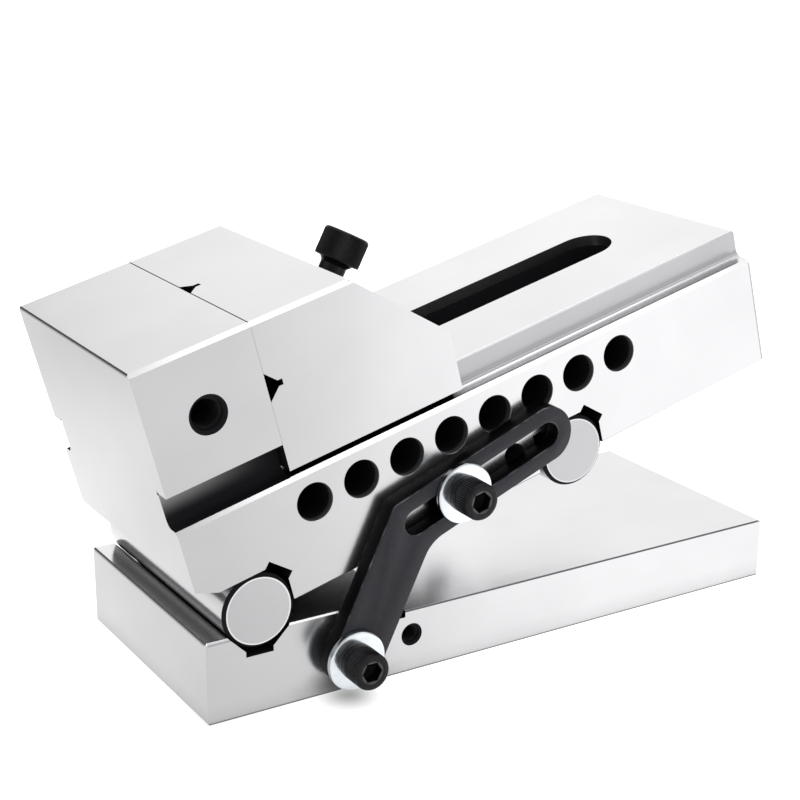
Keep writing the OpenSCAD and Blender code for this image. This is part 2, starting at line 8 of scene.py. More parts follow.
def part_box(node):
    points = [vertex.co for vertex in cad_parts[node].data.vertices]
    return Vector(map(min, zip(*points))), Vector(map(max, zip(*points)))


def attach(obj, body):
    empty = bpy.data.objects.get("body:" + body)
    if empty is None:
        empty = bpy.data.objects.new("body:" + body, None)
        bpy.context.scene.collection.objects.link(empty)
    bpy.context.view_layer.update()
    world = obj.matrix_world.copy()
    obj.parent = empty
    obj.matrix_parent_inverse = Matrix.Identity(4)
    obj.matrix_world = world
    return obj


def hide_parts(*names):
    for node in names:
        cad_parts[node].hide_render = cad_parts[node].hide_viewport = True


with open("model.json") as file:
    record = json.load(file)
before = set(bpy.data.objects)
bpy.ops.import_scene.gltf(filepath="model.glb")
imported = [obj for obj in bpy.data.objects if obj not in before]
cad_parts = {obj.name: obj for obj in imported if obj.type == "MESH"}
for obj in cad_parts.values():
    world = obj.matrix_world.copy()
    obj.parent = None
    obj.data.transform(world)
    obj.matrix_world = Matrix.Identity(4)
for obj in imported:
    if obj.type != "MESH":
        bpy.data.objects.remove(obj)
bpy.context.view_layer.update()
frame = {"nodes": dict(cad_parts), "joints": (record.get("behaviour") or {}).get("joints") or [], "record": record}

# Studio
# The vise stands on a white table in even studio light, seen a little from above and from
# the hinge end, with a long lens about half a metre away.
camera_place = Vector((-0.2573, -0.3998, 0.2148))
camera_heading = math.radians(58.56)
camera_dip = math.radians(17.96)
camera_roll = math.radians(0.11)
camera_lens = 79.35
film_width = 36
nearest_seen = 0.01

camera_data = bpy.data.cameras.new("camera")
camera_data.lens = camera_lens
camera_data.sensor_width = film_width
camera_data.clip_start = nearest_seen
camera = bpy.data.objects.new("camera", camera_data)
bpy.context.scene.collection.objects.link(camera)
camera_view = Vector((math.cos(camera_heading) * math.cos(camera_dip),
                      math.sin(camera_heading) * math.cos(camera_dip), -math.sin(camera_dip)))
camera_turn = camera_view.to_track_quat("-Z", "Y").to_matrix().to_4x4()
camera.matrix_world = Matrix.Translation(camera_place) @ camera_turn @ Matrix.Rotation(camera_roll, 4, "Z")
bpy.context.scene.camera = camera
bpy.context.scene.view_settings.view_transform = "Standard"

floor_half = 3.0
floor_mesh = bpy.data.meshes.new("table_top")
bm = bmesh.new()
bmesh.ops.create_grid(bm, x_segments=1, y_segments=1, size=floor_half)
bm.to_mesh(floor_mesh)
bm.free()
table_top = bpy.data.objects.new("table_top", floor_mesh)
bpy.context.scene.collection.objects.link(table_top)

# The table top glows by its own emission, painted light that steps from dimmer to brighter across it; it is no
# lamp.
glowing_table = bpy.data.materials.new("glowing_table")
glowing_table.use_nodes = True
table_shader = glowing_table.node_tree.nodes["Principled BSDF"]
table_shader.inputs["Base Color"].default_value = (0.25, 0.25, 0.25, 1)
table_shader.inputs["Roughness"].default_value = 0.5
table_shader.inputs["Specular IOR Level"].default_value = 0.3
table_shader.inputs["Emission Color"].default_value = (1, 1, 1, 1)
table_tree = glowing_table.node_tree
table_point = table_tree.nodes.new("ShaderNodeTexCoord").outputs["Object"]


def table_glow(place, turn, reach, low, high):
    """A soft step of light across the table: low before the place and high one reach beyond it."""
    mapping = table_tree.nodes.new("ShaderNodeMapping")
    mapping.vector_type = "TEXTURE"
    mapping.inputs["Location"].default_value = place
    mapping.inputs["Rotation"].default_value = (0, 0, turn)
    mapping.inputs["Scale"].default_value = (reach, reach, reach)
    ramp = table_tree.nodes.new("ShaderNodeMapRange")
    ramp.interpolation_type = "SMOOTHSTEP"
    ramp.inputs["To Min"].default_value = low
    ramp.inputs["To Max"].default_value = high
    table_tree.links.new(table_point, mapping.inputs["Vector"])
    return mapping, ramp


step_start = (-0.118, 0, 0)
step_heading = math.radians(27.4)
step_reach = 0.125
step_dim = 0.82
step_bright = 1.45
step_place, step_ramp = table_glow(step_start, step_heading, step_reach, step_dim, step_bright)
step_axis = table_tree.nodes.new("ShaderNodeSeparateXYZ")
table_tree.links.new(step_place.outputs["Vector"], step_axis.inputs[0])
table_tree.links.new(step_axis.outputs["X"], step_ramp.inputs["Value"])
glow = step_ramp.outputs["Result"]
# Painted light on the glowing table: a patch of painted shade behind the vise, a painted pool of light at its
# hinge end and a painted shadow under the lower arm screw: each has a centre, a reach and the light that it adds
light_pools = (((-0.145, 0.25, 0), 0.16, -0.55),
               ((-0.1, 0.01, 0), 0.07, 0.13),
               ((-0.0527, -0.0402, 0), 0.0105, -0.65))
for pool_centre, pool_reach, pool_light in light_pools:
    pool_place, pool_ramp = table_glow(pool_centre, 0, pool_reach, pool_light, 0)
    pool_length = table_tree.nodes.new("ShaderNodeVectorMath")
    pool_length.operation = "LENGTH"
    table_tree.links.new(pool_place.outputs["Vector"], pool_length.inputs[0])
    table_tree.links.new(pool_length.outputs["Value"], pool_ramp.inputs["Value"])
    glow_sum = table_tree.nodes.new("ShaderNodeMath")
    table_tree.links.new(glow, glow_sum.inputs[0])
    table_tree.links.new(pool_ramp.outputs["Result"], glow_sum.inputs[1])
    glow = glow_sum.outputs[0]
table_tree.links.new(glow, table_shader.inputs["Emission Strength"])
floor_mesh.materials.append(glowing_table)

# The room is plain light grey, darker behind the camera and low at the back, with a dark card
# at the back on the left. The camera itself sees white paper.
room_back = 0.98
room_low = 0.35
room_front = 0.5
room_heading = (-0.45, 0.89, 0)
card_light = 0.2
card_heading = (-0.48, 0.80, 0.36)
paper_light = 1.05
studio_air = bpy.data.worlds.new("studio_air")
studio_air.use_nodes = True
air_tree = studio_air.node_tree
room = air_tree.nodes["Background"]
room.inputs["Color"].default_value = (1, 1, 1, 1)
room_point = air_tree.nodes.new("ShaderNodeTexCoord").outputs["Generated"]
room_side = air_tree.nodes.new("ShaderNodeVectorMath")
room_side.operation = "DOT_PRODUCT"
room_side.inputs[1].default_value = room_heading
room_ramp = air_tree.nodes.new("ShaderNodeMapRange")
room_ramp.interpolation_type = "SMOOTHSTEP"
room_ramp.inputs["From Min"].default_value = -0.7
room_ramp.inputs["From Max"].default_value = 0.5
room_ramp.inputs["To Min"].default_value = room_front
room_ramp.inputs["To Max"].default_value = room_back
air_tree.links.new(room_point, room_side.inputs[0])
air_tree.links.new(room_side.outputs["Value"], room_ramp.inputs["Value"])
room_height = air_tree.nodes.new("ShaderNodeSeparateXYZ")
air_tree.links.new(room_point, room_height.inputs[0])
back_ramp = air_tree.nodes.new("ShaderNodeMapRange")
back_ramp.interpolation_type = "SMOOTHSTEP"
back_ramp.inputs["From Min"].default_value = 0.12
back_ramp.inputs["From Max"].default_value = 0.39
back_ramp.inputs["To Min"].default_value = room_low
back_ramp.inputs["To Max"].default_value = room_back
air_tree.links.new(room_height.outputs["Z"], back_ramp.inputs["Value"])
air_tree.links.new(back_ramp.outputs["Result"], room_ramp.inputs["To Max"])
card_away = air_tree.nodes.new("ShaderNodeVectorMath")
card_away.operation = "DISTANCE"
card_away.inputs[1].default_value = card_heading
air_tree.links.new(room_point, card_away.inputs[0])
card_ramp = air_tree.nodes.new("ShaderNodeMapRange")
card_ramp.interpolation_type = "SMOOTHSTEP"
card_ramp.inputs["From Min"].default_value = 0.25
card_ramp.inputs["From Max"].default_value = 0.93
card_ramp.inputs["To Min"].default_value = card_light
card_ramp.inputs["To Max"].default_value = 1.0
air_tree.links.new(card_away.outputs["Value"], card_ramp.inputs["Value"])
room_light = air_tree.nodes.new("ShaderNodeMath")
room_light.operation = "MULTIPLY"
air_tree.links.new(room_ramp.outputs["Result"], room_light.inputs[0])
air_tree.links.new(card_ramp.outputs["Result"], room_light.inputs[1])
air_tree.links.new(room_light.outputs[0], room.inputs["Strength"])
paper = air_tree.nodes.new("ShaderNodeBackground")
paper.inputs["Color"].default_value = (1, 1, 1, 1)
paper.inputs["Strength"].default_value = paper_light
seen = air_tree.nodes.new("ShaderNodeMixShader")
air_tree.links.new(air_tree.nodes.new("ShaderNodeLightPath").outputs["Is Camera Ray"], seen.inputs[0])
air_tree.links.new(room.outputs[0], seen.inputs[1])
air_tree.links.new(paper.outputs[0], seen.inputs[2])
air_tree.links.new(seen.outputs[0], air_tree.nodes["World Output"].inputs["Surface"])
bpy.context.scene.world = studio_air


def soft_light(name, place, aim, width, height, brightness):
    """A large soft box at a place in metres, turned to its aim."""
    data = bpy.data.lights.new(name, "AREA")
    data.shape = "RECTANGLE"
    data.size = width
    data.size_y = height
    data.energy = brightness * math.pi * width * height
    light = bpy.data.objects.new(name, data)
    turn = (Vector(aim) - Vector(place)).to_track_quat("-Z", "Y").to_matrix().to_4x4()
    light.matrix_world = Matrix.Translation(place) @ turn
    bpy.context.scene.collection.objects.link(light)


soft_light("top_light", (0.4, -0.1, 1.2), (0.05, 0, 0), 1.3, 1.3, 0.5)
soft_light("back_light", (1.0, 1.35, 1.0), (0, 0, 0.1), 2.1, 1.3, 0.6)
soft_light("front_light", (0.6, -1.2, 0.5), (0.05, -0.1, 0), 1.2, 0.8, 0.6)
soft_light("left_light", (-1.2, 0.35, 0.5), (-0.1, 0, 0), 1.0, 0.7, 0.6)
soft_light("edge_light", (0.26, -0.5, 1.15), (0, 0, 0.05), 0.45, 0.45, 2.2)

# Base plate
# A hardened steel plate, ground bright on all outer faces. A groove near its left end carries
# the hinge roller, and its long lower top face is the seat for gauge blocks.
mm = 0.001
steel_low = (0.49, 0.49, 0.498, 1)
steel_high = (0.59, 0.59, 0.598, 1)
# The black of furnace scale, also used for painted shade and painted dark reflections
furnace_black_and_shade = (0.012, 0.012, 0.014, 1)
# The grey of milled faces, also painted on edges and walls as a dark reflection and on the roller ends as shade
milled_and_shade_grey = (0.13, 0.13, 0.14, 1)
grain_share = 0.15
patch_share = 0.85
ground_rough = (0.17, 0.23)
milled_rough = 0.5
furnace_rough = 0.7
occlusion_shade_reach = 12 * mm


def add_node(tree, kind, **settings):
    node = tree.nodes.new(kind)
    for name, value in settings.items():
        setattr(node, name, value)
    return node


def feed(tree, node, **sources):
    """Sets inputs by name, with _ for a space: a socket is linked and anything else is its value."""
    for name, source in sources.items():
        socket = node.inputs[name.replace("_", " ")]
        if isinstance(source, bpy.types.NodeSocket):
            tree.links.new(source, socket)
        else:
            socket.default_value = source
    return node


def maths(tree, operation, *sources):
    node = add_node(tree, "ShaderNodeMath", operation=operation)
    for socket, source in zip(node.inputs, sources):
        if isinstance(source, bpy.types.NodeSocket):
            tree.links.new(source, socket)
        else:
            socket.default_value = source
    return node.outputs[0]


def vector_maths(tree, operation, *sources):
    node = add_node(tree, "ShaderNodeVectorMath", operation=operation)
    for socket, source in zip(node.inputs, sources):
        if isinstance(source, bpy.types.NodeSocket):
            tree.links.new(source, socket)
        else:
            socket.default_value = source
    return node.outputs["Value"] if operation == "LENGTH" else node.outputs["Vector"]


def mix_colour(tree, factor, first, second):
    node = add_node(tree, "ShaderNodeMix", data_type="RGBA")
    for index, source in ((0, factor), (6, first), (7, second)):
        if isinstance(source, bpy.types.NodeSocket):
            tree.links.new(source, node.inputs[index])
        else:
            node.inputs[index].default_value = source
    return node.outputs[2]


def mix_value(tree, factor, first, second):
    node = add_node(tree, "ShaderNodeMix", data_type="FLOAT")
    for index, source in ((0, factor), (2, first), (3, second)):
        if isinstance(source, bpy.types.NodeSocket):
            tree.links.new(source, node.inputs[index])
        else:
            node.inputs[index].default_value = source
    return node.outputs[0]


def new_group(name, inputs, outputs):
    tree = bpy.data.node_groups.new(name, "ShaderNodeTree")
    for socket_name, kind, default in inputs:
        socket = tree.interface.new_socket(name=socket_name, in_out="INPUT", socket_type=kind)
        socket.default_value = default
    for socket_name, kind in outputs:
        tree.interface.new_socket(name=socket_name, in_out="OUTPUT", socket_type=kind)
    return tree, add_node(tree, "NodeGroupInput"), add_node(tree, "NodeGroupOutput")


def use_group(tree, group, **sources):
    return feed(tree, add_node(tree, "ShaderNodeGroup", node_tree=group), **sources).outputs


# Marks of a surface grinder: fine lines along the table's travel and soft cloudy patches
marks, marks_in, marks_out = new_group(
    "grinding_marks",
    [("Point", "NodeSocketVector", (0, 0, 0)), ("Line Pitch", "NodeSocketFloat", 1.2),
     ("Patch Size", "NodeSocketFloat", 30)],
    [("Tone", "NodeSocketFloat"), ("Patches", "NodeSocketFloat"), ("Height", "NodeSocketFloat")])
point = marks_in.outputs["Point"]
facing = add_node(marks, "ShaderNodeSeparateXYZ")
marks.links.new(add_node(marks, "ShaderNodeTexCoord").outputs["Normal"], facing.inputs[0])
on_end = maths(marks, "GREATER_THAN", maths(marks, "ABSOLUTE", facing.outputs["X"]), 0.8)
along_table = vector_maths(marks, "MULTIPLY", point, (0.02, 1, 1))
across_table = vector_maths(marks, "MULTIPLY", point, (1, 0.02, 1))
line_point = add_node(marks, "ShaderNodeMix", data_type="VECTOR")
marks.links.new(on_end, line_point.inputs[0])
marks.links.new(along_table, line_point.inputs[4])
marks.links.new(across_table, line_point.inputs[5])
line_scale = maths(marks, "DIVIDE", 1, marks_in.outputs["Line Pitch"])
lines = feed(marks, add_node(marks, "ShaderNodeTexNoise"), Vector=line_point.outputs[1],
             Scale=line_scale, Detail=5.0, Roughness=0.65)
patch_scale = maths(marks, "DIVIDE", 1, marks_in.outputs["Patch Size"])
patches = feed(marks, add_node(marks, "ShaderNodeTexNoise"), Vector=point,
               Scale=patch_scale, Detail=3.0, Roughness=0.55)
marks.links.new(lines.outputs["Fac"], marks_out.inputs["Tone"])
marks.links.new(patches.outputs["Fac"], marks_out.inputs["Patches"])
marks.links.new(lines.outputs["Fac"], marks_out.inputs["Height"])

# One inside a box, in the piece's own millimetres
box_mask, box_in, box_out = new_group(
    "inside_box",
    [("Point", "NodeSocketVector", (0, 0, 0)), ("Low", "NodeSocketVector", (0, 0, 0)),
     ("High", "NodeSocketVector", (1, 1, 1))],
    [("Mask", "NodeSocketFloat")])
below = vector_maths(box_mask, "SUBTRACT", box_in.outputs["Low"], box_in.outputs["Point"])
above = vector_maths(box_mask, "SUBTRACT", box_in.outputs["Point"], box_in.outputs["High"])
outside = add_node(box_mask, "ShaderNodeSeparateXYZ")
box_mask.links.new(vector_maths(box_mask, "MAXIMUM", below, above), outside.inputs[0])
furthest = maths(box_mask, "MAXIMUM", maths(box_mask, "MAXIMUM", outside.outputs[0], outside.outputs[1]),
                 outside.outputs[2])
box_mask.links.new(maths(box_mask, "LESS_THAN", furthest, 0), box_out.inputs["Mask"])

# One inside a bore that runs across the vise, in the piece's own millimetres
bore_mask, bore_in, bore_out = new_group(
    "inside_bore",
    [("Point", "NodeSocketVector", (0, 0, 0)), ("Centre", "NodeSocketVector", (0, 0, 0)),
     ("Radius", "NodeSocketFloat", 5), ("Half Length", "NodeSocketFloat", 36.48)],
    [("Mask", "NodeSocketFloat")])
from_axis = vector_maths(bore_mask, "SUBTRACT", bore_in.outputs["Point"], bore_in.outputs["Centre"])
radial = vector_maths(bore_mask, "LENGTH", vector_maths(bore_mask, "MULTIPLY", from_axis, (1, 0, 1)))
within = maths(bore_mask, "LESS_THAN", radial, bore_in.outputs["Radius"])
across = add_node(bore_mask, "ShaderNodeSeparateXYZ")
bore_mask.links.new(bore_in.outputs["Point"], across.inputs[0])
inward = maths(bore_mask, "LESS_THAN", maths(bore_mask, "ABSOLUTE", across.outputs["Y"]),
               bore_in.outputs["Half Length"])
bore_mask.links.new(maths(bore_mask, "MULTIPLY", within, inward), bore_out.inputs["Mask"])


def new_material(name):
    material = bpy.data.materials.new(name)
    material.use_nodes = True
    return material, material.node_tree, material.node_tree.nodes["Principled BSDF"]


def piece_point(tree, origin, tilt=0.0):
    """Object coordinates turned into a piece's own frame, in millimetres."""
    mapping = add_node(tree, "ShaderNodeMapping", vector_type="TEXTURE")
    tree.links.new(add_node(tree, "ShaderNodeTexCoord").outputs["Object"], mapping.inputs["Vector"])
    mapping.inputs["Location"].default_value = origin
    mapping.inputs["Rotation"].default_value = (0, -tilt, 0)
    mapping.inputs["Scale"].default_value = (mm, mm, mm)
    return mapping.outputs["Vector"]


def any_of(tree, masks):
    """The strongest of some masks."""
    total = masks[0]
    for mask in masks[1:]:
        total = maths(tree, "MAXIMUM", total, mask)
    return total


def finish_steel(tree, shader, pattern, black, dull_and_shaded=None):
    """Bright ground steel, black where the mask says, from the furnace where no grinder reaches and as painted
    shade elsewhere; painted shade also darkens it towards black in corners and gaps.
    """
    tone = maths(tree, "ADD", maths(tree, "MULTIPLY", pattern["Tone"], grain_share),
                 maths(tree, "MULTIPLY", pattern["Patches"], patch_share))
    steel = mix_colour(tree, tone, steel_low, steel_high)
    # Painted shade: ambient occlusion darkens the colour towards black in corners, gaps and under other parts.
    occlusion_shade = add_node(tree, "ShaderNodeAmbientOcclusion", samples=8)
    occlusion_shade.inputs["Distance"].default_value = occlusion_shade_reach
    open_share = feed(tree, add_node(tree, "ShaderNodeMapRange"), Value=occlusion_shade.outputs["AO"],
                      From_Min=0.15, From_Max=0.6)
    shaded_steel = mix_colour(tree, open_share.outputs["Result"], furnace_black_and_shade, steel)
    roughness = mix_value(tree, pattern["Tone"], *ground_rough)
    if dull_and_shaded is not None:
        shaded_steel = mix_colour(tree, dull_and_shaded, shaded_steel, milled_and_shade_grey)
        roughness = mix_value(tree, dull_and_shaded, roughness, milled_rough)
    feed(tree, shader, Base_Color=mix_colour(tree, black, shaded_steel, furnace_black_and_shade),
         Roughness=mix_value(tree, black, roughness, furnace_rough),
         Metallic=mix_value(tree, black, 1.0, 0.2),
         Specular_IOR_Level=mix_value(tree, black, 0.5, 0.1))
    bump = feed(tree, add_node(tree, "ShaderNodeBump"), Height=pattern["Height"], Strength=0.008,
                Distance=0.0002)
    tree.links.new(bump.outputs["Normal"], shader.inputs["Normal"])


def ground_steel(name, origin, tilt, unground, milled_and_shaded=None):
    """Ground steel for one piece: two functions say where it is black, from the furnace in some places and as
    painted shade in others, and where it is dull grey, from milling in some places and as a painted dark
    reflection in others.
    """
    material, tree, shader = new_material(name)
    place = piece_point(tree, origin, tilt)
    dull_and_shaded = any_of(tree, milled_and_shaded(tree, place)) if milled_and_shaded else None
    pattern = use_group(tree, marks, Point=place)
    finish_steel(tree, shader, pattern, any_of(tree, unground(tree, place)), dull_and_shaded)
    return material


def dress(node_name, material):
    """Gives a node of the frame its material and leaves its shape alone."""
    node = frame["nodes"][node_name]
    for slot in node.material_slots:
        slot.link = "OBJECT"
        slot.material = material


base_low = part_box("base_plate")[0]
base_origin = Vector((base_low.x, 0, base_low.z))


def part_of(tree, mask, share):
    """A mask weakened to a share of its strength."""
    return maths(tree, "MULTIPLY", mask, share)


def in_box(tree, place, low, high):
    """One between two corners."""
    return use_group(tree, box_mask, Point=place, Low=low, High=high)["Mask"]


def in_bore(tree, place, centre, radius, half_length=36.48):
    """One in a bore across the vise, from one side to the other or as deep as its half length says."""
    return use_group(tree, bore_mask, Point=place, Centre=centre, Radius=radius,
                     Half_Length=half_length)["Mask"]


# Corners and centres are in the piece's own millimetres: along it, across it and up. The skin lies
# just inside the ground sides, so that they stay bright, and the side just outside them.
skin = 36.4
side = 36.6
base_black_boxes = (((54.9, -skin, 15.8), (58.2, skin, 17.6)),
                    ((11.0, -skin, 16.0), (19.0, skin, 17.65)))
base_black_holes = (((39.7, 0, 10.5), 3.2),
                    ((60.1, 0, 10.5), 3.4))


def base_unground(tree, place):
    """The relief at the step, the slot in the groove's foot and the two tapped holes."""
    boxes = [in_box(tree, place, low, high) for low, high in base_black_boxes]
    return boxes + [in_bore(tree, place, centre, radius) for centre, radius in base_black_holes]


def base_shaded_edges(tree, place):
    """The broken edges that face the dark, painted grey as a dark reflection: under the plate, along its low part
    and across its end.
    """
    foot = in_box(tree, place, (-1, -side, 0.02), (184, side, 0.42))
    low_edge = in_box(tree, place, (55.5, -side, 17.3), (182, -35.45, 17.66))
    end_edge = in_box(tree, place, (-1, -35.5, 21.55), (0.35, 35.5, 22.46))
    high_edge = in_box(tree, place, (0.5, -side, 21.55), (11, -35.55, 22.46))
    return [part_of(tree, foot, 0.8), part_of(tree, low_edge, 0.9), part_of(tree, end_edge, 0.5),
            part_of(tree, high_edge, 0.4)]


dress("base_plate", ground_steel("ground_base", base_origin, 0.0, base_unground, base_shaded_edges))

# Vise body
# One hardened block with the fixed jaw, ground outside. Cross holes, bed slot, channel and
# relief slots keep the furnace's black.
joints = {joint["name"]: joint for joint in frame["joints"]}
hinge_place = Vector(joints["vise_tilt"]["pos_m"])
slide_axis = Vector(joints["movable_jaw_slide"]["axis"])
tilt = math.atan2(slide_axis.z, slide_axis.x)
roller_distance = 100
roller_places = ((0, 0, 0), (roller_distance, 0, 0))
cross_holes = 8
cross_hole_first = 22.4
cross_hole_pitch = 14
cross_hole_height = 21.2
cross_hole_mouth = 5.3
cross_hole_deep = 34.7
tapped_holes = (((1.75, 0, 55.3), 5.4), ((61.2, 0, 7.3), 3.4), ((81.6, 0, 7.3), 3.4))


def body_black_and_shade(tree, place):
    """Bed slot, nut channel, holes, the notch corners, and as painted shade the underside and the grooves beside
    the rail.
    """
    masks = [in_box(tree, place, (12.9, -8.4, 17), (148.1, 8.4, 34.6)),
             in_box(tree, place, (3.9, -14.85, -1.8), (148.1, 14.85, 21.3))]
    # The cross holes are black, and a step blacker past their mouths as painted shade.
    for index in range(cross_holes):
        centre = (cross_hole_first + cross_hole_pitch * index, 0, cross_hole_height)
        masks.append(part_of(tree, in_bore(tree, place, centre, cross_hole_mouth), 0.86))
        masks.append(in_bore(tree, place, centre, cross_hole_mouth, cross_hole_deep))
    for centre, radius in tapped_holes:
        masks.append(in_bore(tree, place, centre, radius))
    # Painted shade and sheen: the grooves beside the rail are painted black, fading towards their top and the
    # hinge end.
    spot = add_node(tree, "ShaderNodeSeparateXYZ")
    tree.links.new(place, spot.inputs[0])
    upward = feed(tree, add_node(tree, "ShaderNodeMapRange", interpolation_type="SMOOTHSTEP"),
                  Value=spot.outputs["Z"], From_Min=32, From_Max=39)
    leftward = feed(tree, add_node(tree, "ShaderNodeMapRange", interpolation_type="SMOOTHSTEP"),
                    Value=spot.outputs["X"], From_Min=16, From_Max=-10)
    painted_sheen = maths(tree, "MULTIPLY", upward.outputs["Result"], leftward.outputs["Result"])
    groove_shade = maths(tree, "SUBTRACT", 1, part_of(tree, painted_sheen, 0.5))
    # Painted shade: the body's underside is painted nearly black.
    masks.append(part_of(tree, in_box(tree, place, (12, -36.0, -2.2), (170, 36.0, -1.86)), 0.96))
    for near, far in ((-skin, -30.9), (30.9, skin)):
        groove = in_box(tree, place, (-14.4, near, 29.9), (18.1, far, 39.7))
        masks.append(part_of(tree, groove, groove_shade))
    for centre in roller_places:
        corner = in_box(tree, place, (centre[0] + 4.7, -skin, 4.7), (centre[0] + 12, skin, 12))
        outer = in_bore(tree, place, centre, 11.2)
        masks.append(maths(tree, "MULTIPLY", corner, maths(tree, "SUBTRACT", 1, outer)))
    return masks


def body_milled_and_shaded(tree, place):
    """The slot's milled mouth, and the rail's walls and edges that face the dark, painted greyer as a dark
    reflection.
    """
    mouth = in_box(tree, place, (12.9, -8.4, 34.5), (148.1, 8.4, 37.75))
    near_wall = in_box(tree, place, (18.2, -31.7, 30.9), (170, -31.12, 37.76))
    far_wall = in_box(tree, place, (18.2, 31.12, 30.9), (170, 31.7, 37.76))
    top_edge = in_box(tree, place, (-15, -35.5, 71.85), (-14.15, 35.5, 72.76))
    foot_edge = in_box(tree, place, (12, -side, -1.88), (171, -36.05, -1.48))
    right_edge = in_box(tree, place, (168.95, -side, -2), (169.48, -36.05, 29))
    return [part_of(tree, mouth, 0.3), part_of(tree, maths(tree, "MAXIMUM", near_wall, far_wall), 0.4),
            part_of(tree, top_edge, 0.5), part_of(tree, maths(tree, "MAXIMUM", foot_edge, right_edge), 0.45)]


dress("vise_body", ground_steel("ground_body", hinge_place, tilt, body_black_and_shade, body_milled_and_shaded))

# Movable jaw
# A ground block that slides on the rail, with right-angled grooves for round work in its face.
# Its skirts reach down beside the rail, and the clamp screw goes through its slope.


def jaw_black_and_shade(tree, place):
    """The screw's way through the jaw, the feet of the two grooves, and the skirts' inner walls painted black as
    shade.
    """
    screw_way = in_box(tree, place, (19, -4.6, 37), (66, 4.6, 58))
    level = in_box(tree, place, (20.5, -skin, 54.5), (22.6, skin, 56.1))
    upright = in_box(tree, place, (20.5, -0.9, 37), (22.6, 0.9, 72.7))
    # Painted shade: the skirts' inner walls and the underside over the rail are painted black.
    skirts = in_box(tree, place, (18.2, -36.45, 31.9), (70.4, 36.45, 37.85))
    return [screw_way, level, upright, skirts]


def jaw_shaded_edges(tree, place):
    """The two blunt edges across the slope at the jaw's back, painted grey as a dark reflection."""
    top_edge = in_box(tree, place, (46.15, -36, 72.3), (46.75, 36, 72.76))
    foot_edge = in_box(tree, place, (70.1, -36, 37.9), (70.9, 36, 39.2))
    return [part_of(tree, top_edge, 0.5), part_of(tree, foot_edge, 0.5)]


dress("movable_jaw", ground_steel("ground_jaw", hinge_place, tilt, jaw_black_and_shade, jaw_shaded_edges))

# Rollers
# Two hardened pins, ground round, with flat ends greyed as painted shade, the sine roller's more, a painted
# highlight ring inside each end's chamfer and the chamfers painted black as a dark reflection.
roller_all = 40
highlight_ring_inner = 8.72
highlight_ring_outer = 9.04
polished_and_highlight_steel = (0.78, 0.78, 0.79, 1)
roller_steel, roller_tree, roller_shader = new_material("ground_roller")
roller_place = piece_point(roller_tree, hinge_place, tilt)
roller_pattern = use_group(roller_tree, marks, Point=roller_place)
roller_facing = add_node(roller_tree, "ShaderNodeSeparateXYZ")
roller_tree.links.new(add_node(roller_tree, "ShaderNodeTexCoord").outputs["Normal"], roller_facing.inputs[0])
end_share = maths(roller_tree, "ABSOLUTE", roller_facing.outputs["Y"])
# Painted dark reflection: the end chamfers are painted black.
chamfer_dark_reflection = maths(roller_tree, "MULTIPLY", maths(roller_tree, "GREATER_THAN", end_share, 0.3),
                   maths(roller_tree, "LESS_THAN", end_share, 0.9))
on_sine_roller = in_bore(roller_tree, roller_place, roller_places[1], 10.2, roller_all)
# Painted shade: the flat ends are greyed, the sine roller's more.
end_shade = mix_value(roller_tree, on_sine_roller, 0.08, 0.36)
on_end = maths(roller_tree, "MULTIPLY", maths(roller_tree, "GREATER_THAN", end_share, 0.95), end_shade)
on_side = maths(roller_tree, "LESS_THAN", end_share, 0.3)
finish_steel(roller_tree, roller_shader, roller_pattern, chamfer_dark_reflection, on_end)
roller_colour = roller_shader.inputs["Base Color"].links[0].from_socket
# Painted highlight: a thin bright ring on each end face just inside the chamfer, fainter on the sine roller; the
# cylinder's side takes lighter polished steel.
highlight_rings = []
for ring_centre in roller_places:
    inner = in_bore(roller_tree, roller_place, ring_centre, highlight_ring_inner, roller_all)
    outer = in_bore(roller_tree, roller_place, ring_centre, highlight_ring_outer, roller_all)
    highlight_rings.append(maths(roller_tree, "SUBTRACT", outer, inner))
highlight_ring_share = maths(roller_tree, "MULTIPLY", any_of(roller_tree, highlight_rings),
                   maths(roller_tree, "GREATER_THAN", end_share, 0.95))
highlight_ring_share = maths(roller_tree, "MULTIPLY", highlight_ring_share, mix_value(roller_tree, on_sine_roller, 1.0, 0.35))
polish_and_highlight = maths(roller_tree, "MAXIMUM", highlight_ring_share, maths(roller_tree, "MULTIPLY", on_side, 0.45))
feed(roller_tree, roller_shader,
     Base_Color=mix_colour(roller_tree, polish_and_highlight, roller_colour, polished_and_highlight_steel))
dress("hinge_roller", roller_steel)
dress("sine_roller", roller_steel)

# Roller screws
# Two short socket screws hold each roller in its notch, with their heads sunk in the roller.


def black_oxide(name, dark, light, rough_low, rough_high, sheen=0.5):
    """Oxide on turned steel: nearly black, a little cloudy, with paler specks where it is rubbed."""
    material, tree, shader = new_material(name)
    place = piece_point(tree, (0, 0, 0))
    cloud = feed(tree, add_node(tree, "ShaderNodeTexNoise"), Vector=place, Scale=0.35, Detail=5.0)
    grain = feed(tree, add_node(tree, "ShaderNodeTexNoise"), Vector=place, Scale=3.5, Detail=3.0)
    rubbed = feed(tree, add_node(tree, "ShaderNodeMapRange"), Value=grain.outputs["Fac"], From_Min=0.6,
                  From_Max=0.8)
    colour = mix_colour(tree, cloud.outputs["Fac"], dark, light)
    colour = mix_colour(tree, maths(tree, "MULTIPLY", rubbed.outputs["Result"], 0.25), colour,
                        (0.12, 0.12, 0.125, 1))
    feed(tree, shader, Base_Color=colour, Metallic=0.5, Specular_IOR_Level=sheen,
         Roughness=mix_value(tree, cloud.outputs["Fac"], rough_low, rough_high))
    bump = feed(tree, add_node(tree, "ShaderNodeBump"), Height=grain.outputs["Fac"], Strength=0.1,
                Distance=0.0001)
    tree.links.new(bump.outputs["Normal"], shader.inputs["Normal"])
    return material


